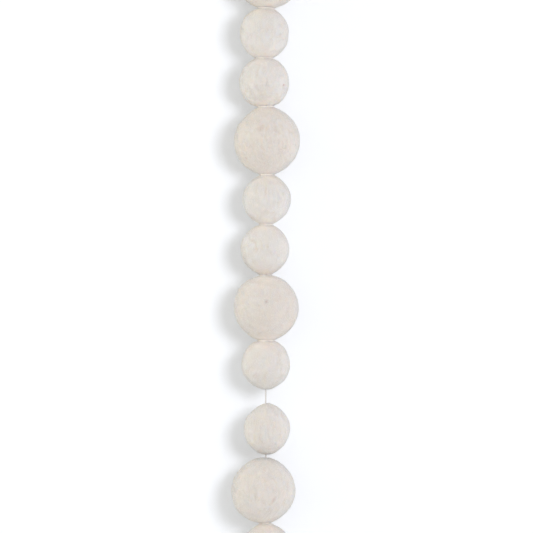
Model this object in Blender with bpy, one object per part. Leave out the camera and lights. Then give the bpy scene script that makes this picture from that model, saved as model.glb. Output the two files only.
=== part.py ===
"""A felt ball garland: wool felt balls of two sizes on one cotton thread, which is tied in a
hanging loop above the top ball and in a stopper knot below the lowest one.

Metres, +Z up. The origin is the point at the inside top of the loop where it bears on its hook,
and the thread hangs straight down from there along -Z."""

import math

import bmesh
import bpy
import numpy as np
from mathutils import Vector

MM = 0.001

THREAD_RADIUS = 0.3 * MM
RUNNING_GAP = 0.3 * MM
BORE_RADIUS = THREAD_RADIUS + RUNNING_GAP

LOOP_LENGTH = 25.0 * MM
LOOP_WIDTH = 8.6 * MM
STRAND_SPACING = 0.72 * MM
KNOT_LENGTH = 2.3 * MM
KNOT_RADIUS = 0.95 * MM
KNOT_WRAPS = 3
TAIL_LENGTH = 9.0 * MM

PRESS = 0.22 * MM
DIMPLE_DEPTH = 0.45 * MM
DIMPLE_RADIUS = 1.9 * MM
DIMPLE_LIFT = 0.34 * MM
LUMP_WAVES = 6
LUMP_SHARE = 0.0085
GOLDEN_ANGLE = math.pi * (3 - math.sqrt(5))
GOLDEN_SHARE = (math.sqrt(5) - 1) / 2

# From the top down, in millimetres: how wide each ball is, how high it is between its two pole
# faces, how far its middle lies to the right of the thread, and the clear gap below it.
BALL_COLUMNS = ("name", "width", "height", "side", "gap_below")
BALL_ROWS = [
    ("large_ball_1", 25.4, 25.3, 0.70, 0.30),
    ("small_ball_1", 19.0, 19.15, -0.55, 0.30),
    ("small_ball_2", 19.3, 18.55, -0.60, 0.30),
    ("large_ball_2", 25.8, 26.2, 0.40, 0.30),
    ("small_ball_3", 19.0, 19.0, 0.30, 0.30),
    ("small_ball_4", 19.1, 19.5, -0.40, 0.30),
    ("large_ball_3", 25.2, 25.2, 0.20, 0.30),
    ("small_ball_5", 19.1, 18.95, -0.10, 5.50),
    ("small_ball_6", 18.4, 19.8, 0.25, 1.25),
    ("large_ball_4", 25.3, 25.3, -1.10, 0.30),
    ("small_ball_7", 19.0, 18.7, 0.60, 0.30),
]
BALL_SEGMENTS = 28
BALL_RINGS = 18
PRESSED_GAP = 0.5


def clear_scene():
    """Removes what the file opens with."""
    for item in list(bpy.data.objects):
        bpy.data.objects.remove(item, do_unlink=True)


def make_collection(name, is_helper=False):
    """A collection in the scene; a helper's is left out of renders."""
    collection = bpy.data.collections.new(name)
    bpy.context.scene.collection.children.link(collection)
    collection.hide_render = is_helper
    return collection


def make_material(name, colour, roughness, sheen):
    """A Principled material with a fibre sheen."""
    material = bpy.data.materials.new(name)
    material.use_nodes = True
    shader = material.node_tree.nodes["Principled BSDF"]
    shader.inputs["Base Color"].default_value = (*colour, 1.0)
    shader.inputs["Roughness"].default_value = roughness
    shader.inputs["Metallic"].default_value = 0.0
    shader.inputs["Sheen Weight"].default_value = sheen
    material.diffuse_color = (*colour, 1.0)
    return material


def lumps(directions, number):
    """The share of its radius by which a ball stands out in each direction: slow waves across
    the ball, each along its own axis, which turns by the golden angle from one to the next."""
    total = np.zeros(len(directions))
    for wave in range(LUMP_WAVES):
        turn = GOLDEN_ANGLE * (number * LUMP_WAVES + wave + 1)
        rise = 1 - 2 * ((number * GOLDEN_SHARE + wave * 0.37 + 0.15) % 1)
        level = math.sqrt(1 - rise * rise)
        axis = np.array([level * math.cos(turn), level * math.sin(turn), rise])
        rate = 2.2 + 0.8 * wave
        total += np.sin(rate * directions @ axis + 2.4 * turn) / (1 + 0.25 * wave)
    return LUMP_SHARE * total


def shape_ball(directions, number, ball, pressed_top, pressed_bottom):
    """Moves the points of a unit sphere onto a hand-felted ball. It is a little uneven, is pressed
    flat where a neighbour touches it, and draws in round the thread at both poles."""
    half_width = ball["width"] / 2 * MM
    half_height = ball["height"] / 2 * MM
    points = directions * (1 + lumps(directions, number))[:, None]
    sides = points[:, :2]
    middle = (sides.max(axis=0) + sides.min(axis=0)) / 2
    reach = (sides.max(axis=0) - sides.min(axis=0)) / 2
    points[:, :2] = (sides - middle) / reach * half_width
    top = half_height + (PRESS if pressed_top else DIMPLE_LIFT)
    bottom = half_height + (PRESS if pressed_bottom else DIMPLE_LIFT)
    points[:, 2] *= np.where(directions[:, 2] > 0, top, bottom)
    highest = half_height if pressed_top else top
    lowest = -half_height if pressed_bottom else -bottom
    points[:, 2] = np.clip(points[:, 2], lowest, highest)
    from_thread = np.hypot(points[:, 0] + ball["side"] * MM, points[:, 1])
    dimple = DIMPLE_DEPTH * np.exp(-((from_thread / DIMPLE_RADIUS) ** 2))
    is_open = np.where(directions[:, 2] > 0, not pressed_top, not pressed_bottom)
    points[:, 2] -= np.sign(directions[:, 2]) * dimple * is_open
    return points


def add_ball(number, ball, centre_z, pressed_top, pressed_bottom, collection, material, cutter):
    """One felt ball, bored through for the thread."""
    builder = bmesh.new()
    bmesh.ops.create_uvsphere(
        builder, u_segments=BALL_SEGMENTS, v_segments=BALL_RINGS, radius=1.0
    )
    directions = np.array([vertex.co[:] for vertex in builder.verts])
    points = shape_ball(directions, number, ball, pressed_top, pressed_bottom)
    for vertex, point in zip(builder.verts, points):
        vertex.co = Vector(point)
    mesh = bpy.data.meshes.new(ball["name"])
    builder.to_mesh(mesh)
    builder.free()
    mesh.materials.append(material)
    mesh.shade_smooth()
    mesh.set_sharp_from_angle(angle=math.radians(50))
    item = bpy.data.objects.new(ball["name"], mesh)
    item.location = (ball["side"] * MM, 0.0, centre_z)
    collection.objects.link(item)
    bore = item.modifiers.new("bore", "BOOLEAN")
    bore.operation = "DIFFERENCE"
    bore.solver = "EXACT"
    bore.object = cutter
    return item


def smooth_route(route, steps):
    """A Catmull-Rom curve through the route's own points, read at a number of steps per span."""
    route = [Vector(point) for point in route]
    padded = [2 * route[0] - route[1]] + route + [2 * route[-1] - route[-2]]
    points = []
    for before, start, end, after in zip(padded, padded[1:], padded[2:], padded[3:]):
        for step in range(steps):
            t = step / steps
            points.append(
                0.5
                * (
                    2 * start
                    + (end - before) * t
                    + (2 * before - 5 * start + 4 * end - after) * t * t
                    + (3 * start - 3 * end + after - before) * t * t * t
                )
            )
    return points + [route[-1]]


def knot_profile(share):
    """How many times thicker than the thread the knot is, at a share of its length: a barrel with
    one ridge for each wrap."""
    barrel = math.sin(math.pi * min(max(share, 0.0), 1.0)) ** 0.35
    ridge = 0.10 * math.cos(2 * math.pi * KNOT_WRAPS * (share - 0.5))
    return 1 + (KNOT_RADIUS / THREAD_RADIUS - 1) * barrel * (0.9 + ridge)


def knot_stations(top_z):
    """Centre points and thickness of a knot that hangs down from a height."""
    count = 4 * KNOT_WRAPS
    shares = [step / count for step in range(count + 1)]
    return [((0.0, 0.0, top_z - share * KNOT_LENGTH), knot_profile(share)) for share in shares]


def add_cord(name, stations, collection, material):
    """A round cord through (point, thickness) stations, with closed ends."""
    curve = bpy.data.curves.new(name, "CURVE")
    curve.dimensions = "3D"
    curve.bevel_depth = THREAD_RADIUS
    curve.bevel_resolution = 2
    curve.use_fill_caps = True
    spline = curve.splines.new("POLY")
    spline.points.add(len(stations) - 1)
    for point, (place, thickness) in zip(spline.points, stations):
        point.co = (*place, 1.0)
        point.radius = thickness
    curve.materials.append(material)
    item = bpy.data.objects.new(name, curve)
    collection.objects.link(item)
    return item


def meshed(item, collection, material):
    """The same shape as a mesh object with its caps joined on, so that it can be cut or joined."""
    bpy.context.view_layer.update()
    graph = bpy.context.evaluated_depsgraph_get()
    mesh = bpy.data.meshes.new_from_object(item.evaluated_get(graph))
    builder = bmesh.new()
    builder.from_mesh(mesh)
    bmesh.ops.remove_doubles(builder, verts=builder.verts, dist=0.001 * MM)
    builder.to_mesh(mesh)
    builder.free()
    mesh.materials.clear()
    mesh.materials.append(material)
    mesh.shade_smooth()
    solid = bpy.data.objects.new(item.name + "_solid", mesh)
    solid.matrix_world = item.matrix_world
    collection.objects.link(solid)
    bpy.data.objects.remove(item, do_unlink=True)
    return solid


def add_thread(top_z, knot_top_z, collection, material):
    """The thread from just under the loop's knot, through every ball, to the stopper knot below
    the lowest one, and its short tail."""
    runs = 52
    straight = [
        ((0.0, 0.0, top_z + (knot_top_z - top_z) * step / runs), 1.0) for step in range(runs)
    ]
    knot = knot_stations(knot_top_z)
    end_z = knot_top_z - KNOT_LENGTH
    tail_route = [
        (0.0, 0.0, end_z - 0.3 * MM),
        (0.25 * MM, 0.1 * MM, end_z - 0.30 * TAIL_LENGTH),
        (0.95 * MM, 0.15 * MM, end_z - 0.65 * TAIL_LENGTH),
        (1.35 * MM, -0.1 * MM, end_z - TAIL_LENGTH),
    ]
    tail = [(tuple(point), 1.0) for point in smooth_route(tail_route, 4)]
    return add_cord("thread", straight + knot + tail, collection, material)


def add_hanging_loop(knot_top_z, collection, helpers, material):
    """The loop that the garland hangs by, its knot and the knot's cut tail, as one solid."""
    foot = STRAND_SPACING / 2
    half = LOOP_WIDTH / 2
    crown_z = THREAD_RADIUS
    side_route = [
        (foot, knot_top_z - 0.9 * MM),
        (foot * 1.15, knot_top_z + 0.9 * MM),
        (0.42 * half, -0.62 * LOOP_LENGTH),
        (0.80 * half, -0.36 * LOOP_LENGTH),
        (half, -0.17 * LOOP_LENGTH),
        (0.72 * half, -0.042 * LOOP_LENGTH),
    ]
    right = [(x, 0.0, z) for x, z in side_route]
    left = [(-x, 0.0, z) for x, z in reversed(side_route)]
    route = smooth_route(right + [(0.0, 0.0, crown_z)] + left, 4)
    strands = add_cord("strands", [(tuple(p), 1.0) for p in route], helpers, material)
    tail_z = knot_top_z - 0.35 * KNOT_LENGTH
    tail_route = [
        (0.2 * MM, 0.0, tail_z),
        (1.6 * MM, -0.3 * MM, tail_z + 0.5 * MM),
        (3.4 * MM, -0.8 * MM, tail_z + 1.9 * MM),
        (4.6 * MM, -1.1 * MM, tail_z + 4.0 * MM),
    ]
    tail_points = [(tuple(p), 1.0) for p in smooth_route(tail_route, 4)]
    tail = add_cord("loop_tail", tail_points, helpers, material)
    barrel = add_cord("barrel", knot_stations(knot_top_z), collection, material)
    solids = [meshed(item, helpers, material) for item in (strands, tail)]
    knot = meshed(barrel, collection, material)
    knot.name = "hanging_loop"
    knot.data.name = "hanging_loop"
    for solid in solids:
        solid.display_type = "WIRE"
        solid.hide_render = True
        join = knot.modifiers.new("join_" + solid.name, "BOOLEAN")
        join.operation = "UNION"
        join.solver = "EXACT"
        join.object = solid
    return knot


def add_cutter(top_z, bottom_z, helpers):
    """The long needle hole through all the balls."""
    builder = bmesh.new()
    bmesh.ops.create_cone(
        builder,
        cap_ends=True,
        segments=12,
        radius1=BORE_RADIUS,
        radius2=BORE_RADIUS,
        depth=top_z - bottom_z,
    )
    mesh = bpy.data.meshes.new("needle_hole")
    builder.to_mesh(mesh)
    builder.free()
    item = bpy.data.objects.new("needle_hole", mesh)
    item.location = (0.0, 0.0, (top_z + bottom_z) / 2)
    item.display_type = "WIRE"
    item.hide_render = True
    helpers.objects.link(item)
    return item


def main():
    clear_scene()
    garland = make_collection("felt_ball_garland")
    helpers = make_collection("cutters", is_helper=True)
    felt = make_material("wool_felt", (0.79, 0.745, 0.69), 0.92, 0.35)
    cotton = make_material("cotton_thread", (0.72, 0.69, 0.64), 0.8, 0.2)

    balls = [dict(zip(BALL_COLUMNS, row)) for row in BALL_ROWS]
    loop_knot_z = -LOOP_LENGTH
    first_top_z = loop_knot_z - KNOT_LENGTH - RUNNING_GAP
    stack_height = sum(ball["height"] + ball["gap_below"] for ball in balls) * MM
    stopper_z = first_top_z - stack_height
    cutter = add_cutter(first_top_z + 5 * MM, stopper_z - 5 * MM, helpers)

    top_z = first_top_z
    gap_above = 0.3
    for number, ball in enumerate(balls):
        centre_z = top_z - ball["height"] / 2 * MM
        is_first = number == 0
        is_last = number == len(balls) - 1
        pressed_top = gap_above < PRESSED_GAP and not is_first
        pressed_bottom = ball["gap_below"] < PRESSED_GAP and not is_last
        add_ball(number, ball, centre_z, pressed_top, pressed_bottom, garland, felt, cutter)
        top_z -= (ball["height"] + ball["gap_below"]) * MM
        gap_above = ball["gap_below"]

    add_hanging_loop(loop_knot_z, garland, helpers, cotton)
    add_thread(first_top_z, stopper_z, garland, cotton)


main()
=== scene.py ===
import math

import bpy
import numpy as np
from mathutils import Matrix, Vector


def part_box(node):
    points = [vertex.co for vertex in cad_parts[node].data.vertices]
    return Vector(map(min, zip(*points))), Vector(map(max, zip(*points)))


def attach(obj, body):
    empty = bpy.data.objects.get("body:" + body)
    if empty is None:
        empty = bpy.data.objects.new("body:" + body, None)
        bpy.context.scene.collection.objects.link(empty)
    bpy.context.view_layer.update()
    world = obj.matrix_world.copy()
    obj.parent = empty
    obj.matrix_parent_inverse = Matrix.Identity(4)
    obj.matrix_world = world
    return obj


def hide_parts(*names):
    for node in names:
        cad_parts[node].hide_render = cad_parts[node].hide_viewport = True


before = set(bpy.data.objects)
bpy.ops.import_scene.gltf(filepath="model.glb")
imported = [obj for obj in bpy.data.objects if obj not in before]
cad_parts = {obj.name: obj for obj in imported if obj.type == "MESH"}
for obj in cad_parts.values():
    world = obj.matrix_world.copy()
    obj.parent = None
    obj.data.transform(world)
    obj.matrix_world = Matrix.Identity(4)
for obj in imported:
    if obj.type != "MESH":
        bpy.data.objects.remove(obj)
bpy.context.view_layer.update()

# Felt balls

# Eleven balls of cream sheep's wool, wet-felted by rolling tufts of loose wool between soapy
# palms until the fibres mat. Each is a little uneven, shows the lay of its tufts as fine
# creases, and is pierced with a needle and pushed up against its neighbour on the thread.

MM = 0.001
# The balls from the top: by what share each is fuller at its upper and its lower end than an egg
# of its size would be, the radius in millimetres of the neck where its felt runs into that of the
# ball below it, how far it has slipped to the right, by how much it is slimmer than its solid, and
# how warm its wool is from 0 to 1.
BALL_COLUMNS = ("fuller_above", "fuller_below", "neck_below", "slip", "slimmer", "warmth")
BALL_LOOKS = {
    "large_ball_1": (0.00, 0.12, 3.05, 0.0, 0.0, 0.9),
    "small_ball_1": (0.03, 0.14, 3.25, 0.0, 0.0, 0.2),
    "small_ball_2": (0.12, 0.17, 2.95, 0.0, 0.0, 0.25),
    "large_ball_2": (-0.22, -0.07, 2.65, 0.1, 0.2, 1.0),
    "small_ball_3": (-0.14, -0.06, 2.30, 0.1, 0.2, 0.1),
    "small_ball_4": (-0.04, -0.13, 2.05, 0.1, 0.2, 0.2),
    "large_ball_3": (0.11, -0.15, 3.10, 0.0, 0.0, 1.0),
    "small_ball_5": (0.25, -0.19, 0.00, 0.1, 0.2, 0.4),
    "small_ball_6": (-0.28, -0.10, 0.00, 0.2, 0.4, 0.5),
    "large_ball_4": (-0.17, -0.03, 2.00, 0.22, 0.45, 0.75),
    "small_ball_7": (-0.12, 0.00, 0.00, -0.5, 0.0, 0.6),
}
BALL_ORDER = tuple(BALL_LOOKS)
# A ball wider than this is a large one. Each kind has its grid of columns and rows.
LARGE_WIDTH = 22.0
LARGE_GRID = (200, 98)
SMALL_GRID = (152, 76)
# The needle hole, and how far a free end stands past that of the solid.
BORE_ROWS = 8
BORE_RADIUS = 0.34
FREE_END = 0.12
# Where two balls touch: the widest gap between their solids that still counts, how far the felt
# runs on into its neighbour's, the fillet round their neck, how far from it the felt still
# widens or narrows to meet it, at how many turns it is measured, and how far from it the grid's
# close rows (in radians), the painted light and the smoother felt reach.
TOUCHING_GAP = 0.5
CONTACT_SINK = 0.45
NECK_FILLET = 0.36
NECK_FIT = 0.9
RIM_STEPS = 72
NECK_BAND = 0.04
NECK_LIGHT_REACH = 1.8
SMOOTH_NECK = 0.6
# The felt that has matted round a neck: points round the neck and round its oval section, half
# the thickness and half the height of that section, how ragged it is, and how strong the painted
# light on it is.
COLLAR_GRID = (132, 12)
COLLAR_DEPTH = 0.26
COLLAR_HEIGHT = 0.42
COLLAR_RAGGED = 0.055
COLLAR_PAINTED_LIGHT = 0.84
# A free end draws in round the thread by a wide dimple and a narrow pucker.
DIMPLE_DEPTH = 0.15
DIMPLE_RADIUS = 1.7
PUCKER_DEPTH = 0.5
PUCKER_RADIUS = 0.55
# The unevenness of a ball: slow lumps, as a share of its radius, then swellings, the tufts'
# ridges and the creases between them.
LUMP_WAVES = 6
LUMP_SHARE = 0.0085
SWELL_HEIGHT = 0.045
TUFT_HEIGHT = 0.015
CREASE_DEPTH = 0.018
GOLDEN_ANGLE = math.pi * (3 - math.sqrt(5))
GOLDEN_SHARE = (math.sqrt(5) - 1) / 2


def looks_of(number):
    """One ball's row of the table, under the names of its columns."""
    return dict(zip(BALL_COLUMNS, BALL_LOOKS[BALL_ORDER[number]]))


def unit(vectors):
    """Vectors made one long."""
    return vectors / np.linalg.norm(vectors, axis=-1, keepdims=True)


def even_turns(count):
    """Angles at even shares of a full turn."""
    return np.arange(count) / count * 2 * np.pi


def directions_at(turn, fall):
    """Unit vectors by their turn about the thread and their angle down from the upper pole."""
    return np.stack(
        [np.sin(fall) * np.cos(turn), np.sin(fall) * np.sin(turn), np.cos(fall)], axis=-1
    )


def lumps(directions, number):
    """The share of its radius by which a ball stands out in each direction: the sum of six slow
    sine waves, each along its own axis, which turns by the golden angle from wave to wave."""
    total = np.zeros(len(directions))
    for wave in range(LUMP_WAVES):
        turn = GOLDEN_ANGLE * (number * LUMP_WAVES + wave + 1)
        rise = 1 - 2 * ((number * GOLDEN_SHARE + wave * 0.37 + 0.15) % 1)
        level = math.sqrt(1 - rise * rise)
        axis = np.array([level * math.cos(turn), level * math.sin(turn), rise])
        rate = 2.2 + 0.8 * wave
        total += np.sin(rate * directions @ axis + 2.4 * turn) / (1 + 0.25 * wave)
    return LUMP_SHARE * total


def soft_noise(points, seed, shortest, longest, waves=36):
    """Even noise of size about one at points in millimetres: the sum of sine waves that run in
    every direction, with wavelengths between the shortest and the longest."""
    draw = np.random.default_rng(seed)
    ways = unit(draw.normal(size=(waves, 3)))
    ways *= 2 * np.pi / draw.uniform(shortest, longest, waves)[:, None]
    phases = draw.uniform(0, 2 * np.pi, waves)
    return np.sin(points @ ways.T + phases).sum(axis=1) * math.sqrt(2 / waves)


def tuft_layers(points, directions, number):
    """The lay of two tufts of wool wrapped round the ball, one across its front and one across
    its sides, both leaning a little. For each: how far a point is across the tuft's fibres, bent
    by slow noise so that they swirl, and two lengths along them. The third result says from 0 to
    1 how far the first tuft lies on top: where it lies flatter on the ball than the second."""
    draw = np.random.default_rng(500 + number)
    lean = np.radians(draw.normal(0, 22, size=3))
    front = unit(np.array([math.cos(lean[0]), math.sin(lean[1]) * 0.6, math.sin(lean[0])]))
    flank = unit(np.cross((math.sin(lean[2]), 0, 1), front))
    upward = np.cross(front, flank)
    layers = []
    for tuft, axes in enumerate(((front, flank, upward), (flank, front, upward))):
        bend = 1.5 * soft_noise(points, 9000 + 10 * number + tuft, 10.0, 18.0, 14)
        bend += 0.16 * soft_noise(points, 9500 + 10 * number + tuft, 3.0, 6.0, 18)
        lay = points @ np.array(axes).T
        lay[:, 0] += bend
        layers.append(lay)
    flatter = np.abs(directions @ flank) - np.abs(directions @ front)
    over = 3.2 * flatter + soft_noise(points, 7000 + number, 8.0, 16.0, 12)
    return layers[0], layers[1], 1 / (1 + np.exp(-5 * over))


def tuft_waves(lay, seed, shortest, longest, waves=30):
    """Ridges along a tuft's fibres: sine waves that run across them, with wavelengths between
    the shortest and the longest, and that drift slowly along them."""
    draw = np.random.default_rng(seed)
    ways = np.empty((waves, 3))
    ways[:, 0] = 2 * np.pi / draw.uniform(shortest, longest, waves)
    ways[:, 1:] = draw.normal(size=(waves, 2)) * 2 * np.pi / 13.0
    phases = draw.uniform(0, 2 * np.pi, waves)
    return np.sin(lay @ ways.T + phases).sum(axis=1) * math.sqrt(2 / waves)


# Marks of the making, seen from the front: which ball, how far right of and above its middle in
# millimetres, the size across and along the mark, how far it leans, how deep it goes, and how
# much darker the wool is there.
MARK_COLUMNS = ("ball", "right", "up", "across", "along", "lean", "depth", "stain")
MARK_ROWS = [
    ("large_ball_3", 0.1, 2.6, 0.40, 0.5, 0, 0.28, 0.25),
    ("large_ball_2", -2.6, 4.4, 0.8, 1.3, 70, 0.25, 0.10),
    ("large_ball_2", -8.1, -7.1, 0.28, 0.42, 30, 0.00, 0.75),
    ("large_ball_2", -0.8, -9.2, 0.35, 2.6, 12, 0.22, 0.15),
    ("small_ball_2", 7.6, -1.3, 0.30, 0.80, 78, 0.00, 0.95),
    ("large_ball_4", 3.6, -3.9, 0.30, 1.8, 20, 0.28, 0.20),
    ("large_ball_4", -2.9, -1.2, 0.35, 3.0, 5, 0.15, 0.05),
    ("small_ball_6", -2.2, 0.4, 0.30, 2.0, 10, 0.16, 0.08),
]
MARKS = [dict(zip(MARK_COLUMNS, row)) for row in MARK_ROWS]


def mark_masks(points, ball):
    """How strongly each of a ball's marks is felt at points in millimetres from its middle: a
    bell that is narrow across the mark and long along it. Returns the depth and the stain."""
    depth = np.zeros(len(points))
    stain = np.zeros(len(points))
    radius = np.linalg.norm(points, axis=1).mean()
    for mark in MARKS:
        if mark["ball"] != ball:
            continue
        right, up = mark["right"], mark["up"]
        place = np.array([right, -math.sqrt(radius**2 - right**2 - up**2), up])
        lean = math.radians(mark["lean"])
        along = np.array([math.sin(lean), 0, math.cos(lean)])
        away = points - place
        run = away @ along
        side = np.sqrt(np.maximum((away**2).sum(axis=1) - run**2, 0))
        bell = np.exp(-((side / mark["across"]) ** 2) - (run / mark["along"]) ** 2)
        depth += mark["depth"] * bell
        stain = np.maximum(stain, mark["stain"] * bell)
    return depth, stain


class Ball:
    """One ball's place on the thread, read from its solid, and its surface as a function of
    direction. Lengths are in millimetres."""

    def __init__(self, name):
        self.name = name
        self.number = BALL_ORDER.index(name)
        self.looks = looks_of(self.number)
        low, high = (np.array(corner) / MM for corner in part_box(name))
        self.middle = (low + high) / 2
        self.middle[0] += self.looks["slip"]
        self.half = (high - low) / 2
        self.half[0] -= self.looks["slimmer"] / 2
        self.low_z, self.high_z = low[2], high[2]
        self.is_large = self.half[0] * 2 > LARGE_WIDTH
        self.contacts = [
            self.contact(other, facing)
            for other, facing in ((self.number - 1, 1), (self.number + 1, -1))
        ]
        self.touches_above, self.touches_below = (bool(found) for found in self.contacts)
        self.tops = [
            self.half[2] + (found["pressed"] if found else FREE_END) for found in self.contacts
        ]
        grid = np.meshgrid(np.linspace(0, 2 * np.pi, 96), np.linspace(0.02, np.pi - 0.02, 48))
        probe = directions_at(*grid).reshape(-1, 3)
        reached = (probe * (1 + lumps(probe, self.number))[:, None])[:, :2]
        self.lean = (reached.max(axis=0) + reached.min(axis=0)) / 2
        self.reach = (reached.max(axis=0) - reached.min(axis=0)) / 2
        for found in filter(None, self.contacts):
            found["rims"] = self.rims(found)

    def contact(self, other, facing):
        """Where the ball above (facing 1) or below (-1) presses on this one: the middle and the
        way of the plane that they share, which is square to the line between their middles,
        from this ball's middle, and how far this ball's own shape would pass its end. A cap of
        radius r stands r squared over twice the radius of its curve."""
        if not 0 <= other < len(BALL_ORDER):
            return None
        low, high = (np.array(corner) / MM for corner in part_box(BALL_ORDER[other]))
        gap = low[2] - self.high_z if facing > 0 else self.low_z - high[2]
        if gap > TOUCHING_GAP:
            return None
        way = (low + high) / 2 - self.middle
        way[0] += looks_of(other)["slip"]
        way[1] = 0
        height = self.half[2] + gap / 2
        middle = way * height / abs(way[2])
        neck = looks_of(min(other, self.number))["neck_below"]
        fuller = self.looks["fuller_above" if facing > 0 else "fuller_below"]
        width = self.half[0] * (1 + fuller)
        bulge = neck**2 / (2 * width**2)
        pressed = (bulge * self.half[2] + gap / 2 - NECK_FILLET) / (1 - bulge)
        return {
            "facing": facing,
            "middle": middle,
            "way": unit(way),
            "neck": neck,
            "curve": width**2 / (self.half[2] + pressed),
            "pressed": pressed,
            "edge": math.asin(min(neck / width, 1)),
        }

    def rims(self, found):
        """How far out from a contact's middle the felt, before it is pressed, comes within the
        fillet of the shared plane, for even turns round it."""
        reach = np.linspace(0.4, 1.8, 60) * found["edge"]
        away, turn = np.meshgrid(reach, even_turns(RIM_STEPS))
        directions = directions_at(turn, away) * (1, 1, found["facing"])
        points = self.unpressed(directions.reshape(-1, 3))[0]
        gap = (found["middle"] - points) @ found["way"]
        spoke = points - found["middle"] + gap[:, None] * found["way"]
        out = np.linalg.norm(spoke, axis=1).reshape(away.shape)
        gap = gap.reshape(away.shape)
        return [np.interp(NECK_FILLET, *row) for row in zip(gap, out)]

    def unpressed(self, directions):
        """Points on the felt about the ball's middle for unit directions, before a neighbour
        presses on it. The radius is the half size, times the slow lumps and, by the cube of the
        rise, the fuller ends, plus swellings, tufts and creases, which fade out at a contact."""
        shell = directions * (1 + lumps(directions, self.number))[:, None]
        poles = 1 + lumps(np.array([(0.0, 0.0, 1.0), (0.0, 0.0, -1.0)]), self.number)
        points = np.empty_like(shell)
        points[:, :2] = (shell[:, :2] - self.lean) / self.reach * self.half[:2]
        points[:, 2] = shell[:, 2] * np.where(directions[:, 2] > 0, *(self.tops / poles))
        ends = self.looks["fuller_above"], self.looks["fuller_below"]
        fuller = np.where(directions[:, 2] > 0, *ends)
        points[:, :2] *= 1 + (fuller * np.abs(directions[:, 2]) ** 3)[:, None]
        first, second, over = tuft_layers(points, directions, self.number)
        tufts = over * tuft_waves(first, 100 + self.number, 0.8, 2.4)
        tufts += (1 - over) * tuft_waves(second, 200 + self.number, 0.8, 2.4)
        swell = soft_noise(points, 300 + self.number, 3.2, 7.5)
        crease = np.clip(-tufts - 1.0, 0, 1.2) / 1.2
        depth, stain = mark_masks(points, self.name)
        raised = SWELL_HEIGHT * swell + TUFT_HEIGHT * tufts - CREASE_DEPTH * crease - depth
        for found in filter(None, self.contacts):
            short = (found["middle"] - points) @ found["way"]
            raised *= 1 - np.exp(-np.maximum(short, 0) / SMOOTH_NECK)
        points += directions * raised[:, None]
        return points, crease, depth, stain, first, second, over

    def surface(self, directions):
        """Points on the felt for unit directions from the middle, with how much painted shade each
        gets from a crease, a mark's dent or the needle hole, how stained and how near a neighbour
        each is, and its places in the tufts. A free pole draws in round the thread, by a wide and
        a narrow bell."""
        points, crease, depth, stain, first, second, over = self.unpressed(directions)
        points, near = self.pressed(points, directions[:, 2])
        points[:, :2] += self.middle[:2]
        across = np.hypot(points[:, 0], points[:, 1])
        spokes = 1 + 0.22 * np.sin(7 * np.arctan2(points[:, 1], points[:, 0]) + self.number)
        draw_in = DIMPLE_DEPTH * np.exp(-((across / DIMPLE_RADIUS) ** 2))
        draw_in += PUCKER_DEPTH * np.exp(-((across / PUCKER_RADIUS) ** 2)) * spokes
        free = np.where(directions[:, 2] > 0, not self.touches_above, not self.touches_below)
        points[:, 2] -= np.sign(directions[:, 2]) * draw_in * free
        points[:, 2] += self.middle[2]
        # Painted shade in the creases, in the dents of the marks and round the needle hole.
        entry = np.exp(-((across / 0.8) ** 2)) * free
        recess_shade = np.clip(0.6 * crease + depth / 0.5 + 0.6 * entry, 0, 1)
        return points, recess_shade, stain, near, first, second, over

    def pressed(self, points, side):
        """Points levelled off where a neighbour presses, and how near to it each is. The gap to
        the plane that the two share becomes the root of its square less a small square, so the
        felt runs into the neighbour's in a fillet of mixed fibres, and near the plane it widens
        or narrows to the one round neck that both share. Inside it the levelled part lies a
        little past that plane. Nearness falls off by the exponential of the gap."""
        near = np.zeros(len(points))
        for found in filter(None, self.contacts):
            gap = (found["middle"] - points) @ found["way"]
            short = np.maximum(gap, 0)
            left = np.sqrt(np.maximum(short**2 - NECK_FILLET**2, 0))
            left = np.where(short > NECK_FILLET, left, -CONTACT_SINK)
            here = found["facing"] * side > 0
            spoke = points - found["middle"] + gap[:, None] * found["way"]
            turn = np.arctan2(spoke[:, 1], spoke[:, 0])
            rim = np.interp(turn, even_turns(RIM_STEPS), found["rims"], period=2 * np.pi)
            fade = np.exp(-np.abs(gap - NECK_FILLET) / NECK_FIT)
            fit = (found["neck"] / rim - 1) * fade * here
            points = points + ((gap - left) * here)[:, None] * found["way"]
            points += fit[:, None] * spoke
            # Nearness to the neighbour sets the painted light round the neck.
            near = np.maximum(near, np.exp(-short / NECK_LIGHT_REACH) * here)
        return points, near

    def falls(self, rows):
        """Angles down from the upper pole for the rows of the grid: even, but close together
        where a neighbour's felt begins and sparse inside that, where nothing shows. Each is
        where the running sum of the density reaches its even share."""
        rim = BORE_RADIUS / self.half[0]
        fine = np.linspace(rim, np.pi - rim, 4000)
        density = np.ones(len(fine))
        for found in filter(None, self.contacts):
            away = fine if found["facing"] > 0 else np.pi - fine
            density[away < found["edge"]] = 0.25
            density += 4.0 * np.exp(-(((away - found["edge"]) / NECK_BAND) ** 2))
        reached = np.cumsum(density)
        return np.interp(np.linspace(reached[0], reached[-1], rows), reached, fine)

    def round_neck(self, radius, angle, along):
        """Points round the neck to the ball below: how far out each is, at what angle, and how
        far along the line between the two balls' middles."""
        found = self.contacts[1]
        way = found["way"]
        right = np.array([-way[2], 0.0, way[0]])
        points = self.middle + found["middle"] + along[..., None] * way
        points += (radius * np.cos(angle))[..., None] * right
        points[..., 1] += radius * np.sin(angle)
        return points


def new_mesh(name, points, faces, material):
    """A mesh object in the row frame from points in millimetres and lists of corners."""
    mesh = bpy.data.meshes.new(name)
    mesh.from_pydata((points * MM).tolist(), [], faces)
    mesh.materials.append(material)
    mesh.shade_smooth()
    mesh.update()
    item = bpy.data.objects.new(name, mesh)
    bpy.context.scene.collection.objects.link(item)
    return item


def add_values(item, name, values):
    """A point attribute of one number or one vector a vertex, for the material to read."""
    kind, field = ("FLOAT", "value") if values.ndim == 1 else ("FLOAT_VECTOR", "vector")
    layer = item.data.attributes.new(name, kind, "POINT")
    layer.data.foreach_set(field, values.astype(np.float32).ravel())


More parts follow.
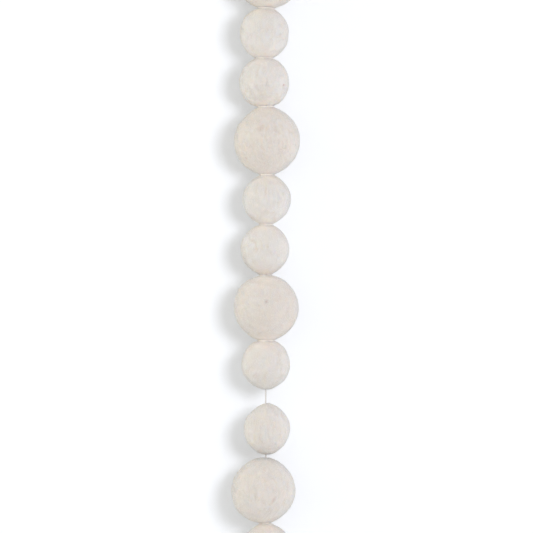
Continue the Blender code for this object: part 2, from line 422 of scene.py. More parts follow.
def ring_faces(rows, columns, closed_rows=True):
    """Quads of a grid whose columns run round, and whose rows do too where it is a ring."""
    row = np.arange(rows if closed_rows else rows - 1)
    column = np.arange(columns)
    row, column = (part.ravel() for part in np.meshgrid(row, column, indexing="ij"))
    next_row, next_column = (row + 1) % rows, (column + 1) % columns
    corners = (
        row * columns + column,
        next_row * columns + column,
        next_row * columns + next_column,
        row * columns + next_column,
    )
    return np.stack(corners, axis=1).tolist()


def add_ball(ball, material):
    """One ball as a closed ring-shaped grid: round it by turn, and from the rim of the needle
    hole at the top, down the outside to the rim below, and back up inside the hole."""
    columns, rows = LARGE_GRID if ball.is_large else SMALL_GRID
    spin = even_turns(columns)
    turn, fall = (angles.ravel() for angles in np.meshgrid(spin, ball.falls(rows)))
    points, recess_shade, stain, near, first, second, over = ball.surface(directions_at(turn, fall))
    towards_thread = np.exp(-((np.sin(fall) * ball.half[0] / 1.6) ** 2))[:, None]
    points[:, :2] -= ball.middle[:2] * towards_thread
    outer = points.reshape(rows, columns, 3)
    step = np.linspace(0, 1, BORE_ROWS + 2)[1:-1, None, None]
    wall = outer[-1] + (outer[0] - outer[-1]) * step
    wall[:, :, 0] = BORE_RADIUS * np.cos(spin)
    wall[:, :, 1] = BORE_RADIUS * np.sin(spin)
    outer[0, :, :2] = outer[-1, :, :2] = wall[0, :, :2]
    points = np.concatenate([outer, wall]).reshape(-1, 3)
    faces = ring_faces(rows + BORE_ROWS, columns)
    item = new_mesh(ball.name + "_felt", points, faces, material)
    inside = BORE_ROWS * columns
    for label, values, filler in (
        ("recess_shade", recess_shade, 1.0),
        ("stain", stain, 0.0),
        # How near a neighbour, which sets the painted light round the neck.
        ("neck", near, 0.0),
        ("warmth", near * 0 + ball.looks["warmth"], 0.0),
        ("tuft_on_top", over, 0.5),
    ):
        add_values(item, label, np.concatenate([values, np.full(inside, filler)]))
    for label, values in (("first_tuft", first), ("second_tuft", second)):
        add_values(item, label, np.concatenate([values, np.zeros((inside, 3))]))
    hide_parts(ball.name)
    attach(item, "root")


def add_collar(ball, material):
    """The wisp of felt that has matted between a ball and the one below it: a closed ring with
    an oval section, laid round their shared neck and swelling and thinning by soft noise. Its
    fibres run from the one ball to the other."""
    found = ball.contacts[1]
    columns, around = COLLAR_GRID
    angles = np.meshgrid(even_turns(columns), even_turns(around))
    turn, roll = (angle.ravel() for angle in angles)
    ring = np.stack([np.cos(turn), np.sin(turn), 0 * turn], axis=1) * found["neck"]
    swell = 1 + 0.12 * soft_noise(ring, 800 + ball.number, 1.5, 5.0)
    edge = ring + np.outer(np.sin(roll), (0, 0, COLLAR_HEIGHT))
    ragged = COLLAR_RAGGED * soft_noise(edge, 850 + ball.number, 0.5, 1.2)
    out = found["neck"] - 0.04 + (COLLAR_DEPTH * swell + ragged / 2) * np.cos(roll)
    along = (COLLAR_HEIGHT * swell + ragged) * np.sin(roll)
    points = ball.round_neck(out, turn, along)
    item = new_mesh(ball.name + "_neck_felt", points, ring_faces(around, columns), material)
    for label, value in (
        ("recess_shade", 0.0),
        ("stain", 0.0),
        # The collar takes the painted light of a neck.
        ("neck", COLLAR_PAINTED_LIGHT),
        ("warmth", ball.looks["warmth"]),
        ("tuft_on_top", 0.5),
    ):
        add_values(item, label, np.full(len(points), value))
    lay = np.stack([turn * found["neck"], along, 0 * turn], axis=1)
    for label in ("first_tuft", "second_tuft"):
        add_values(item, label, lay)
    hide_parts(ball.name)
    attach(item, "root")


def fill(tree, made, inputs):
    """A node's inputs, each set to a value or linked from another socket."""
    for key, value in inputs.items():
        if isinstance(value, bpy.types.NodeSocket):
            tree.links.new(value, made.inputs[key])
        else:
            made.inputs[key].default_value = value


def node(tree, kind, inputs=None, **settings):
    """A node with its settings and inputs."""
    made = tree.nodes.new(kind)
    for key, value in settings.items():
        setattr(made, key, value)
    fill(tree, made, inputs or {})
    return made


def noise(tree, place, scale, detail, roughness=0.5, distortion=0.0):
    """A noise texture's value at a place."""
    inputs = {"Vector": place, "Scale": scale, "Detail": detail, "Roughness": roughness,
              "Distortion": distortion}
    return node(tree, "ShaderNodeTexNoise", inputs).outputs["Fac"]


def maths(tree, operation, *values):
    """The result of one operation on values or sockets."""
    return node(tree, "ShaderNodeMath", dict(enumerate(values)), operation=operation).outputs[0]


def mapped(tree, value, before, after, **settings):
    """A value carried from one span to another and held at its ends."""
    spans = {"Value": value, "From Min": before[0], "From Max": before[1],
             "To Min": after[0], "To Max": after[1]}
    return node(tree, "ShaderNodeMapRange", spans, **settings).outputs["Result"]


def mixed(tree, share, first, second, kind="RGBA"):
    """Two colours, or two numbers, mixed by a share. A plain colour is given as three numbers."""
    offset, result = {"FLOAT": (2, 0), "RGBA": (6, 2)}[kind]
    first, second = ((*side, 1) if isinstance(side, tuple) else side for side in (first, second))
    return node(tree, "ShaderNodeMix", {0: share, offset: first, offset + 1: second},
                data_type=kind).outputs[result]


def attribute(tree, label, output="Fac"):
    """A point attribute as a socket."""
    return node(tree, "ShaderNodeAttribute", attribute_name=label).outputs[output]


def new_material(name):
    """A new material, with its node tree and its main shader."""
    material = bpy.data.materials.new(name)
    material.use_nodes = True
    return material, material.node_tree, material.node_tree.nodes["Principled BSDF"]


def make_fibre_group():
    """Matted fibres seen along a tuft: a noise that is stretched along the fibres gives single
    strands, and a coarser one gives the bundles that they lie in."""
    group = bpy.data.node_groups.new("matted_fibres", "ShaderNodeTree")
    for label, kind in (("Lay", "Vector"), ("Strand Width", "Float"), ("Strand Length", "Float")):
        group.interface.new_socket(label, in_out="INPUT", socket_type="NodeSocket" + kind)
    for label in ("Strands", "Bundles"):
        group.interface.new_socket(label, in_out="OUTPUT", socket_type="NodeSocketFloat")
    entry = group.nodes.new("NodeGroupInput").outputs
    width = maths(group, "DIVIDE", 1.0, entry["Strand Width"])
    length = maths(group, "DIVIDE", 1.0, entry["Strand Length"])
    scale = node(group, "ShaderNodeCombineXYZ", {0: width, 1: length, 2: length}).outputs[0]
    place = node(group, "ShaderNodeVectorMath", {0: entry["Lay"], 1: scale},
                 operation="MULTIPLY").outputs[0]
    fill(group, group.nodes.new("NodeGroupOutput"), {
        "Strands": noise(group, place, 1.0, 3.0, 0.6, 0.4),
        "Bundles": noise(group, place, 0.22, 2.0, 0.5, 0.6),
    })
    return group


FIBRES = make_fibre_group()

WOOL_LIGHT = (0.669, 0.647, 0.620)
WOOL_DARK = (0.598, 0.564, 0.529)
WOOL_WARM = (0.637, 0.565, 0.497)
# Painted warm shade for creases, dents and needle holes.
WOOL_RECESS_SHADE = (0.572, 0.511, 0.439)
# Painted light round a neck: warm, then brighter right at it, lifting the shade between balls.
WOOL_NECK_PAINTED_LIGHT = (0.805, 0.710, 0.630)
WOOL_CROOK_PAINTED_LIGHT = (0.990, 0.930, 0.855)
WOOL_STAIN = (0.380, 0.085, 0.090)
# Painted grey shade where the felt is seen edge-on.
WOOL_EDGE_SHADE = (0.440, 0.435, 0.430)


def make_wool(name, subsurface):
    """Cream wool felt: two tufts' fibres laid over each other, a slow drift of tint from tuft to
    tuft, warm painted shade down in the creases, dents and needle holes, and the odd reddish
    speck of seed or dyed fibre. Towards a neck a warm painted light and then a brighter one lift
    the shade between the balls, and seen edge-on a grey painted shade darkens the felt."""
    material, tree, shader = new_material(name)
    laid = [
        node(tree, "ShaderNodeGroup",
             {"Lay": attribute(tree, label, "Vector"), "Strand Width": 0.13,
              "Strand Length": 2.6}, node_tree=FIBRES).outputs
        for label in ("first_tuft", "second_tuft")
    ]
    on_top = attribute(tree, "tuft_on_top")
    strands, bundles = (
        mixed(tree, on_top, laid[1][label], laid[0][label], "FLOAT")
        for label in ("Strands", "Bundles")
    )
    drift = noise(tree, node(tree, "ShaderNodeTexCoord").outputs["Object"], 130.0, 2.0)
    tone = maths(tree, "MULTIPLY_ADD", strands, 0.55, maths(tree, "MULTIPLY", bundles, 0.45))
    spread = mapped(tree, tone, (0.36, 0.62), (0.0, 1.0))
    warmed = maths(tree, "MULTIPLY", attribute(tree, "warmth"), drift)
    recess_shade_share = maths(tree, "MULTIPLY", attribute(tree, "recess_shade"), 0.65)
    # How near a neighbour, which sets the painted light round a neck.
    neck = attribute(tree, "neck")
    # Painted grey shade where the felt is seen edge-on.
    facing = node(tree, "ShaderNodeLayerWeight", {"Blend": 0.5}).outputs["Facing"]
    edge = mapped(tree, facing, (0.45, 0.95), (0.0, 0.6), interpolation_type="SMOOTHSTEP")
    base = mixed(tree, spread, WOOL_DARK, WOOL_LIGHT)
    for share, colour in (
        (mapped(tree, drift, (0.35, 0.65), (0.35, 1.0)), WOOL_LIGHT),
        (warmed, WOOL_WARM),
        # Painted shade in creases, dents and needle holes.
        (recess_shade_share, WOOL_RECESS_SHADE),
        # Painted light round a neck, warm and then brighter, lifting the shade between the balls.
        (maths(tree, "MULTIPLY", neck, 0.9), WOOL_NECK_PAINTED_LIGHT),
        (maths(tree, "POWER", neck, 2.4), WOOL_CROOK_PAINTED_LIGHT),
        (attribute(tree, "stain"), WOOL_STAIN),
        # Painted grey shade at the edge-on felt.
        (edge, WOOL_EDGE_SHADE),
    ):
        base = mixed(tree, share, base, colour)
    height = maths(tree, "MULTIPLY_ADD", strands, 0.6, maths(tree, "MULTIPLY", bundles, 0.8))
    bump = node(tree, "ShaderNodeBump", {"Strength": 0.55, "Distance": 0.00012, "Height": height})
    fill(tree, shader, {
        "Base Color": base,
        "Normal": bump.outputs["Normal"],
        "Roughness": mapped(tree, strands, (0.3, 0.7), (0.96, 0.84)),
        "Specular IOR Level": 0.25,
        "Sheen Weight": 0.10,
        "Sheen Roughness": 0.5,
        "Sheen Tint": (1.0, 0.97, 0.93, 1.0),
        "Subsurface Weight": subsurface,
        "Subsurface Scale": 0.004,
        "Subsurface Radius": (1.0, 0.75, 0.5),
    })
    return material


# Light spreads inside the thick felt of a ball, and not in the thin wisps round a neck.
WOOL = make_wool("wool_felt_matted", 0.8)
THIN_WOOL = make_wool("wool_felt_thin", 0.0)
balls = [Ball(name) for name in BALL_ORDER]
for ball in balls:
    add_ball(ball, WOOL)
    if ball.touches_below:
        add_collar(ball, THIN_WOOL)

# Fuzz on the felt

# Single wool fibres that the felting has not drawn in: most lie matted on the ball with both
# ends caught, and some stand off it and curl. One joined mesh a ball holds them all.

LARGE_HAIRS = 3700
SMALL_HAIRS = 2050
LOOSE_SHARE = 0.30
LOOSE_LENGTH = (0.5, 1.5)
MATTED_LENGTH = (1.4, 4.0)
MATTED_CLIMB = (0.06, 0.16)
# Where a neighbour presses, by the upright part of a direction from the middle, and the rim just
# inside that where a small share of the hairs starts.
PRESSED_LEVEL = 0.86
NECK_LEVELS = (0.86, 0.90)
NECK_SHARE = 0.04
CROSSING_HAIRS = 110
# A hair is a point, three rings of three points and a point: its caps and its sides.
HAIR_STEPS = 5
HAIR_TAPER = (1.0, 0.9, 0.6)
HAIR_POINTS = 11
HAIR_CAPS = np.array([(0, 2, 1), (0, 3, 2), (0, 1, 3), (10, 7, 8), (10, 8, 9), (10, 9, 7)])
HAIR_SIDES = np.array([
    (ring + first, ring + next_one, ring + next_one + 3, ring + first + 3)
    for ring in (1, 4)
    for first, next_one in ((0, 1), (1, 2), (2, 0))
])


def hair_mesh(name, paths, thickness, material):
    """One mesh of tapering three-sided hairs: a ring of three points round each inner step of
    every path, and a point at each of its two ends. Paths are hairs x steps x xyz."""
    count = len(paths)
    ahead = unit(paths[:, 2:] - paths[:, :-2])
    side = unit(np.cross(ahead, np.array([0.31, 0.87, 0.39])))
    over = np.cross(ahead, side)
    angle = even_turns(3)[None, None, :, None]
    taper = np.array(HAIR_TAPER)[None, :, None, None] * thickness[:, None, None, None] / 2
    rings = paths[:, 1:-1, None] + taper * (
        side[:, :, None] * np.cos(angle) + over[:, :, None] * np.sin(angle)
    )
    rings = rings.reshape(count, HAIR_POINTS - 2, 3)
    points = np.concatenate([paths[:, :1], rings, paths[:, -1:]], axis=1)
    starts = np.arange(count)[:, None, None] * HAIR_POINTS
    faces = [
        corners
        for shape in (HAIR_CAPS, HAIR_SIDES)
        for corners in (starts + shape[None]).reshape(-1, shape.shape[1]).tolist()
    ]
    item = new_mesh(name, points.reshape(-1, 3), faces, material)
    tone = (np.arange(count) * GOLDEN_SHARE) % 1
    add_values(item, "hair_tone", np.repeat(tone, HAIR_POINTS))
    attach(item, "root")
    return item


def turned(vectors, axes, angle):
    """Unit vectors turned about axes that they are square to."""
    angle = angle[:, None]
    return vectors * np.cos(angle) + np.cross(axes, vectors) * np.sin(angle)


def ball_hairs(ball):
    """Paths of one ball's hairs: each walks over the felt by even steps while its heading turns
    evenly. A matted hair rises and dips in again by half a sine wave, and a loose one climbs
    away by a power of its run. Where a neighbour presses, hairs start only round the rim."""
    draw = np.random.default_rng(40 + ball.number)
    count = LARGE_HAIRS if ball.is_large else SMALL_HAIRS
    way = unit(draw.normal(size=(count * 2, 3)))
    pressed = (way[:, 2] > PRESSED_LEVEL) & ball.touches_above
    pressed |= (way[:, 2] < -PRESSED_LEVEL) & ball.touches_below
    way = way[~pressed][:count]
    neck = np.arange(count) < count * NECK_SHARE
    upper = np.where(np.arange(count) % 2 == 0, ball.touches_above, not ball.touches_below)
    level = draw.uniform(*NECK_LEVELS, count) * np.where(upper, 1, -1)
    level = np.where(neck & (ball.touches_above | ball.touches_below), level, way[:, 2])
    way[:, :2] *= np.sqrt((1 - level**2) / (1 - way[:, 2] ** 2))[:, None]
    way[:, 2] = level
    loose = draw.random(count) < LOOSE_SHARE
    loose_length = draw.uniform(*LOOSE_LENGTH, count)
    length = np.where(loose, loose_length, draw.uniform(*MATTED_LENGTH, count))
    curl = draw.normal(0, 1, count) * np.where(loose, 1.6, 0.9)
    loose_climb = draw.gamma(3.0, 0.085, count).clip(0.08, 0.7)
    climb = np.where(loose, loose_climb, draw.uniform(*MATTED_CLIMB, count))
    aim = draw.normal(0, 1, (count, 3)) * np.where(loose, 1, 0.6)[:, None]
    aim += np.where(loose, 0, 1.0)[:, None] * np.array([1.0, 0.2, 0])
    heading = unit(np.cross(way, aim))
    stride = length / (HAIR_STEPS - 1) / ball.half.mean()
    steps = []
    for step in range(HAIR_STEPS):
        steps.append(way)
        heading = turned(heading, way, curl / (HAIR_STEPS - 1))
        moved = way * np.cos(stride)[:, None] + heading * np.sin(stride)[:, None]
        heading = heading * np.cos(stride)[:, None] - way * np.sin(stride)[:, None]
        way = moved
    directions = np.stack(steps, axis=1)
    felt = ball.surface(directions.reshape(-1, 3))[0].reshape(directions.shape)
    share = np.linspace(0, 1, HAIR_STEPS)[None]
    matted = np.sin(np.pi * share) * climb[:, None] - 0.04
    climbing = climb[:, None] * share**1.3 - 0.05 * (1 - share)
    height = np.where(loose[:, None], climbing, matted)
    thickness = draw.uniform(0.024, 0.038, count)
    return felt + directions * height[:, :, None], thickness


def crossing_hairs(ball, below):
    """Paths of the hairs that have worked from one ball's felt into that of the ball below it:
    each runs past the neck between the two by even steps, turning a little round it, as far out
    as the root of the neck's radius squared plus twice the curve times the way gone."""
    draw = np.random.default_rng(140 + ball.number)
    found, facing = ball.contacts[1], below.contacts[0]
    share = np.linspace(-1, 1, HAIR_STEPS)[None]
    run = draw.uniform(0.5, 1.4, CROSSING_HAIRS)[:, None]
    run = run * (share + draw.normal(0, 0.3, CROSSING_HAIRS)[:, None])
    lean = draw.normal(0, 0.16, CROSSING_HAIRS)[:, None]
    angle = draw.uniform(0, 2 * np.pi, CROSSING_HAIRS)[:, None] + lean * share
    angle += draw.normal(0, 0.05, CROSSING_HAIRS)[:, None] * share**2
    curve = np.where(run > 0, facing["curve"], found["curve"])
    past = np.sqrt(run**2 + NECK_FILLET**2) - NECK_FILLET
    lift = draw.uniform(0.10, 0.30, CROSSING_HAIRS)[:, None] * (1 - share**2) - 0.04
    radius = np.sqrt(found["neck"] ** 2 + 2 * curve * past) + lift
    thickness = draw.uniform(0.024, 0.036, CROSSING_HAIRS)
    return ball.round_neck(radius, angle, run), thickness


WOOL_HAIR_LIGHT = (0.92, 0.895, 0.86)
WOOL_HAIR_DARK = (0.80, 0.76, 0.70)


def make_hair(name, light, dark):
    """A single fibre, partly clear: its tint differs from hair to hair and a little along it."""
    material, tree, shader = new_material(name)
    along = noise(tree, node(tree, "ShaderNodeTexCoord").outputs["Object"], 2500.0, 1.0)
    share = maths(tree, "MULTIPLY", attribute(tree, "hair_tone"), along)
    colour = mixed(tree, share, light, dark)
    rough = mapped(tree, along, (0.0, 1.0), (0.8, 0.6))
    fill(tree, shader, {"Base Color": colour, "Roughness": rough})
    clear = node(tree, "ShaderNodeBsdfTranslucent", {"Color": colour}).outputs[0]
    both = node(tree, "ShaderNodeMixShader", {0: 0.20, 1: shader.outputs[0], 2: clear})
    fill(tree, tree.nodes["Material Output"], {"Surface": both.outputs[0]})
    return material


WOOL_HAIR = make_hair("wool_fibre", WOOL_HAIR_LIGHT, WOOL_HAIR_DARK)
for ball in balls:
    paths, thickness = ball_hairs(ball)
    if ball.touches_below:
        more_paths, more_thickness = crossing_hairs(ball, balls[ball.number + 1])
        paths = np.concatenate([paths, more_paths])
        thickness = np.concatenate([thickness, more_thickness])
    fuzz = hair_mesh(ball.name + "_fuzz", paths, thickness, WOOL_HAIR)
    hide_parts(ball.name)

# Thread

# One length of undyed cotton, three plies twisted together, 0.6 mm thick. It is tied in a
# hanging loop with a wrapped knot that sits on the top ball, runs through every needle hole,
# and ends in a wrapped stopper knot and a short cut tail under the lowest ball.

THREAD_DIAMETER = 0.6
PLIES = 3
PLY_PITCH = 2.1
# Points round the thread, and the steps along it where it shows and where it is hidden.
AROUND = 18
SHOWN_STEP = 0.14
HIDDEN_STEP = 1.2
STRAY_FIBRES = 520
END_FIBRES = 34
# In a knot, two strands lie this far from its middle, inside wraps that run round an oval.
CORE_OFFSET = 0.29
WRAP_RADII = (0.84, 0.57)
WRAP_PITCH = 0.61
WRAP_TURN = math.radians(960)
# The loop's half width, and how far below its top the knot begins.
LOOP_HALF = 4.3
LOOP_LENGTH = 25.0

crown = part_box("hanging_loop")[1][2] / MM - THREAD_DIAMETER / 2
tail_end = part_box("thread")[0][2] / MM + 0.25
stopper = balls[-1].low_z - 0.3


def wrap_coil(start_angle, turn, start_z, rise):
    """Points of a helix on an oval about the thread's axis, from one angle by a turn, rising or
    falling evenly as it goes."""
    share = np.linspace(0, 1, max(int(abs(turn) / math.radians(22)), 8))
    angle = start_angle + turn * share
    return np.stack(
        [
            WRAP_RADII[0] * np.cos(angle),
            WRAP_RADII[1] * np.sin(angle),
            start_z + rise * share,
        ],
        axis=1,
    )


def loop_route():
    """The route of the loop and its knot: in from the cut tail, down round the two strands in
    wraps, back up inside them, round the loop, and down through the wraps to the top ball."""
    coil_drop = -WRAP_PITCH * WRAP_TURN / (2 * math.pi)
    coil = wrap_coil(math.radians(-60), WRAP_TURN, -LOOP_LENGTH - 0.42, coil_drop)
    foot = -LOOP_LENGTH - 0.42 + coil_drop
    tail = [(4.6, -1.1, -21.8), (3.9, -1.0, -23.2), (2.6, -0.95, -24.5), (1.2, -0.8, -25.25)]
    turn_up = [(-0.80, -0.05, foot - 0.22), (-0.52, -0.05, foot - 0.42)]
    core = [(-CORE_OFFSET, 0.0, z) for z in (foot - 0.1, -26.3, -25.4)]
    side = [
        (0.41, -LOOP_LENGTH + 0.9), (0.95, -20.0), (1.81, -15.5), (2.75, -12.0), (3.44, -9.0),
        (4.05, -6.4), (LOOP_HALF, -4.25), (4.02, -2.4), (3.10, -1.05), (1.70, -0.08),
    ]
    left = [(-x, 0.0, z) for x, z in side]
    right = [(x, 0.0, z) for x, z in reversed(side)]
    down = [(CORE_OFFSET, 0.0, z) for z in (-25.3, -26.2, -26.9)] + [(0.12, 0.0, -27.5)]
    loop = left + [(0.0, 0.0, crown)] + right
    return np.array(tail + coil.tolist() + turn_up + core + loop + down)


def stopper_route():
    """The route of the stopper knot: down inside, out and up round itself in wraps, and in
    again at the top to come out below as the cut tail."""
    rise = WRAP_PITCH * WRAP_TURN / (2 * math.pi)
    foot = stopper - 1.98
    coil = wrap_coil(math.pi, WRAP_TURN, foot + 0.1, rise)
    into = [(0.0, 0.0, stopper + 0.9), (-0.12, 0.0, stopper + 0.3)]
    core = [(-CORE_OFFSET, 0.0, stopper - 0.3), (-CORE_OFFSET, 0.0, foot)]
    turn_out = [(-0.5, -0.03, foot - 0.3), (-0.78, -0.03, foot - 0.18)]
    turn_in = [(0.40, 0.28, foot + 0.3 + rise)]
    out = [(CORE_OFFSET, 0.02, z) for z in (stopper - 0.5, stopper - 1.4, foot - 0.4)]
    tail = [(0.38, 0.10, stopper - 4.6), (0.85, 0.15, stopper - 7.6)]
    tail += [(1.2, 0.02, stopper - 9.6), (1.35, -0.10, tail_end)]
    return np.array(into + core + turn_out + coil.tolist() + turn_in + out + tail)


def smooth_line(route, steps=10):
    """A Catmull-Rom curve through the route's points, read at even shares of each span: at each
    point it heads along the line between the points before and after it."""
    padded = np.concatenate(
        [2 * route[:1] - route[1:2], route, 2 * route[-1:] - route[-2:-1]]
    )
    before, start, end, after = (padded[i : len(padded) - 3 + i, None] for i in range(4))
    share = (np.arange(steps) / steps)[None, :, None]
    curve = 0.5 * (
        2 * start
        + (end - before) * share
        + (2 * before - 5 * start + 4 * end - after) * share**2
        + (3 * start - 3 * end + after - before) * share**3
    )
    return np.concatenate([curve.reshape(-1, 3), route[-1:]])


def stations(line, holders):
    """Points along a line, close together where the thread shows and far apart where it is
    hidden inside a ball."""
    along = np.concatenate([[0], np.cumsum(np.linalg.norm(np.diff(line, axis=0), axis=1))])
    fine = np.arange(0, along[-1], SHOWN_STEP)
    heights = np.interp(fine, along, line[:, 2])
    hidden = np.zeros(len(fine), bool)
    for low, high in holders:
        hidden |= (heights > low + 1.2) & (heights < high - 1.2)
    keep = ~hidden | (np.arange(len(fine)) % int(HIDDEN_STEP / SHOWN_STEP) == 0)
    kept = np.append(fine[keep], along[-1])
    points = [np.interp(kept, along, line[:, axis]) for axis in range(3)]
    return np.stack(points, axis=1), kept


def carried_frames(line):
    """At each station the line's direction and two directions across it, carried along the line
    without turning about it."""
    ahead = unit(np.gradient(line, axis=0))
    across = np.empty_like(ahead)
    side = np.cross(ahead[0], (0.3, 1.0, 0.2))
    for index, way in enumerate(ahead):
        side = unit(side - way * (side @ way))
        across[index] = side
    return across, np.cross(ahead, across)


def thread_hairs(line, across, over):
    """Stray cotton fibres, each a short curl that starts on the thread's skin wherever it shows,
    and a brush of longer ones that fans out of each of its two cut ends."""
    draw = np.random.default_rng(77)
    shown = [
        station for station, height in enumerate(line[:, 2])
        if not any(ball.low_z + 1 < height < ball.high_z - 1 for ball in balls)
    ]
    at = draw.choice(shown, STRAY_FIBRES)
    ends = np.repeat([0, len(line) - 1], END_FIBRES)
    outward = np.repeat([-1.0, 1.0], END_FIBRES)[:, None]
    at = np.concatenate([at, ends])
    count = len(at)
    ahead = np.cross(across, over)[at]
    angle = draw.uniform(0, 2 * np.pi, count)[:, None]
    out = across[at] * np.cos(angle) + over[at] * np.sin(angle)
    way = ahead * draw.choice([-1.0, 1.0], count)[:, None] + 0.45 * out
    way[STRAY_FIBRES:] = ahead[STRAY_FIBRES:] * outward + 0.30 * out[STRAY_FIBRES:]
    way = unit(way)
    skin = np.full(count, 0.26)
    skin[STRAY_FIBRES:] = draw.uniform(0, 0.2, 2 * END_FIBRES)
    length = draw.uniform(0.3, 0.9, count)
    length[STRAY_FIBRES:] = draw.uniform(0.5, 1.2, 2 * END_FIBRES)
    bend = np.cross(way, draw.normal(size=(count, 3)))
    place = line[at] + out * skin[:, None]
    steps = [place]
    for step in range(HAIR_STEPS - 1):
        place = place + way * (length / (HAIR_STEPS - 1))[:, None]
        way = unit(way + 0.28 * bend)
        steps.append(place)
    return np.stack(steps, axis=1), draw.uniform(0.016, 0.026, count)


def twisted_tube(name, line, along, material):
    """A tube whose cross-section is three round plies: the radius rises and falls three times
    round it, and the section turns once in each pitch along the line. Its ends are rounded off
    by short rings that close on a point."""
    across, over = carried_frames(line)
    angle = even_turns(AROUND)
    turn = 2 * np.pi * along / PLY_PITCH
    lobe = np.abs(np.cos(PLIES / 2 * (angle[None] - turn[:, None]))) ** 0.8
    radius = THREAD_DIAMETER / 2 * (0.80 + 0.20 * lobe)
    from_end = np.minimum(along - along[0], along[-1] - along) / (THREAD_DIAMETER / 2)
    closing = np.sqrt(1 - (1 - np.clip(from_end, 0.08, 1)) ** 2)
    radius = radius * closing[:, None]
    ring = (
        across[:, None] * np.cos(angle)[None, :, None]
        + over[:, None] * np.sin(angle)[None, :, None]
    )
    points = (line[:, None] + ring * radius[:, :, None]).reshape(-1, 3)
    faces = ring_faces(len(line), AROUND, closed_rows=False)
    tips = np.array([line[0], line[-1]])
    last = (len(line) - 1) * AROUND
    column = np.arange(AROUND)
    following = (column + 1) % AROUND
    first_tip, last_tip = len(points), len(points) + 1
    near_cap = np.stack([np.full(AROUND, first_tip), column, following], axis=1)
    far_cap = np.stack([np.full(AROUND, last_tip), last + following, last + column], axis=1)
    faces += near_cap.tolist() + far_cap.tolist()
    item = new_mesh(name, np.concatenate([points, tips]), faces, material)
    around = (angle[None] - turn[:, None]) * THREAD_DIAMETER / 2
    lay = np.stack([around, np.repeat(along[:, None], AROUND, 1), radius * 0], axis=2)
    add_values(item, "ply_lay", np.concatenate([lay.reshape(-1, 3), np.zeros((2, 3))]))
    # How deep in a groove between the plies, for the painted shade there.
    add_values(item, "ply_groove_shade", np.concatenate([(1 - lobe).ravel(), [0.5, 0.5]]))
    return item


COTTON_LIGHT = (0.71, 0.68, 0.66)
# The darker fibres, and the painted shade in the grooves between plies.
COTTON_DARK_FIBRE_AND_SHADE = (0.52, 0.49, 0.46)


def make_cotton():
    """Undyed cotton: fine fibres wound round each ply, with painted shade in the grooves between
    them.
    """
    material, tree, shader = new_material("cotton_thread_plied")
    strands = node(tree, "ShaderNodeGroup",
                   {"Lay": attribute(tree, "ply_lay", "Vector"), "Strand Width": 0.06,
                    "Strand Length": 0.9}, node_tree=FIBRES).outputs["Strands"]
    # Painted shade in the grooves between the plies, mixed with darker and lighter fibres.
    shade = maths(tree, "MULTIPLY_ADD", attribute(tree, "ply_groove_shade"), 0.6,
                  maths(tree, "MULTIPLY", strands, 0.4))
    bump = node(tree, "ShaderNodeBump", {"Strength": 0.5, "Distance": 0.00004, "Height": strands})
    fill(tree, shader, {
        "Base Color": mixed(tree, shade, COTTON_LIGHT, COTTON_DARK_FIBRE_AND_SHADE),
        "Normal": bump.outputs["Normal"],
        "Roughness": mapped(tree, strands, (0.0, 1.0), (0.9, 0.7)),
        "Sheen Weight": 0.15,
    })
    return material


straight_run = np.linspace((0.0, 0.0, -28.6), (0.0, 0.0, stopper + 2.0), 28)
route = np.concatenate([loop_route(), straight_run, stopper_route()])
line = smooth_line(route)
centre, run = stations(line, [(ball.low_z, ball.high_z) for ball in balls])
thread = twisted_tube("cotton_thread_whole", centre, run, make_cotton())
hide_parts("thread", "hanging_loop")
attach(thread, "root")
strays = hair_mesh(
    "cotton_stray_fibres",
    *thread_hairs(centre, *carried_frames(centre)),
    make_hair("cotton_fibre", (0.92, 0.91, 0.88), (0.80, 0.78, 0.74)),
)
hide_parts("thread", "hanging_loop")

# Wall, floor and light

# The garland hangs 17 mm in front of a white painted wall, above a pale floor. A small cool
# soft box stands well in front, to the right and above, a warm strip and a warm box stand to the
# left and a cool strip to the right, and the white room fills the shadows.

WALL_GAP = 17.2
WALL_TOP = 1800.0
FLOOR_Z = -520.0
FLOOR_FRONT = -3500.0
ROOM_HALF = 2500.0


def stage_sheet(name, near_edge, far_edge, colour, see_through_back):
    """A flat matt stage surface as wide as the room, between two edges that are given by their
    depth and height. With a see-through back, it hides nothing from behind."""
    corners = np.array([
        (-ROOM_HALF, *near_edge),
        (ROOM_HALF, *near_edge),
        (ROOM_HALF, *far_edge),
        (-ROOM_HALF, *far_edge),
    ])
    material, tree, shader = new_material(name)
    plain = {"Base Color": (*colour, 1), "Roughness": 0.9, "Specular IOR Level": 0.1}
    fill(tree, shader, plain)
    if see_through_back:
        behind = node(tree, "ShaderNodeNewGeometry").outputs["Backfacing"]
        clear = node(tree, "ShaderNodeBsdfTransparent").outputs[0]
        chosen = node(tree, "ShaderNodeMixShader", {0: behind, 1: shader.outputs[0], 2: clear})
        fill(tree, tree.nodes["Material Output"], {"Surface": chosen.outputs[0]})
    item = new_mesh(name, corners, [(0, 1, 2, 3)], material)


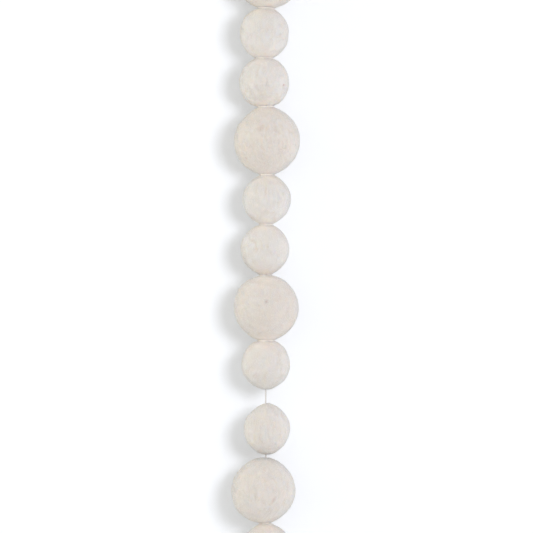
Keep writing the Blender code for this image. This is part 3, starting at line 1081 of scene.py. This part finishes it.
stage_sheet(
    "white_wall",
    (WALL_GAP, FLOOR_Z),
    (WALL_GAP, WALL_TOP),
    (0.888, 0.90, 0.922),
    True,
)
stage_sheet(
    "pale_floor",
    (FLOOR_FRONT, FLOOR_Z),
    (WALL_GAP + 1500.0, FLOOR_Z),
    (0.80, 0.80, 0.79),
    False,
)

VIEW_MIDDLE = (0.29, -153.62)
VIEW_WIDTH = 207.6
VIEW_DISTANCE = 1400.0

world = bpy.data.worlds.new("white_room")
world.use_nodes = True
glow = {"Color": (1.0, 1.0, 1.0, 1.0), "Strength": 0.728}
fill(world.node_tree, world.node_tree.nodes["Background"], glow)
bpy.context.scene.world = world


def add_light(name, place, size, power, colour):
    """A rectangular lamp at a place in millimetres that faces the middle of the view."""
    lamp = bpy.data.lights.new(name, "AREA")
    lamp.shape = "RECTANGLE"
    lamp.size, lamp.size_y = size
    lamp.energy = power
    lamp.color = colour
    item = bpy.data.objects.new(name, lamp)
    item.location = Vector(place) * MM
    towards = Vector(place) - Vector((0, 0, VIEW_MIDDLE[1]))
    item.rotation_euler = towards.to_track_quat("Z", "Y").to_euler()
    item.visible_camera = False
    bpy.context.scene.collection.objects.link(item)


COOL, WARM = (0.965, 0.985, 1.06), (1.0, 0.99, 0.84)
add_light("soft_box", (277, -785, -55), (0.228, 0.228), 2.84, COOL)
add_light("left_strip", (-800, -85, VIEW_MIDDLE[1] + 430), (0.15, 0.8), 1.40, WARM)
add_light("left_box", (-800, -350, VIEW_MIDDLE[1] + 100), (0.3, 0.8), 1.10, WARM)
add_light("right_strip", (900, -85, VIEW_MIDDLE[1]), (0.15, 0.8), 0.90, COOL)

SENSOR_WIDTH = 36.0
lens_data = bpy.data.cameras.new("camera")
lens_data.sensor_width = SENSOR_WIDTH
lens_data.lens = SENSOR_WIDTH * VIEW_DISTANCE / VIEW_WIDTH
camera = bpy.data.objects.new("camera", lens_data)
camera.location = (VIEW_MIDDLE[0] * MM, -VIEW_DISTANCE * MM, VIEW_MIDDLE[1] * MM)
camera.rotation_euler = (math.radians(90), 0, 0)
bpy.context.scene.collection.objects.link(camera)
bpy.context.scene.camera = camera
bpy.context.scene.view_settings.view_transform = "Standard"
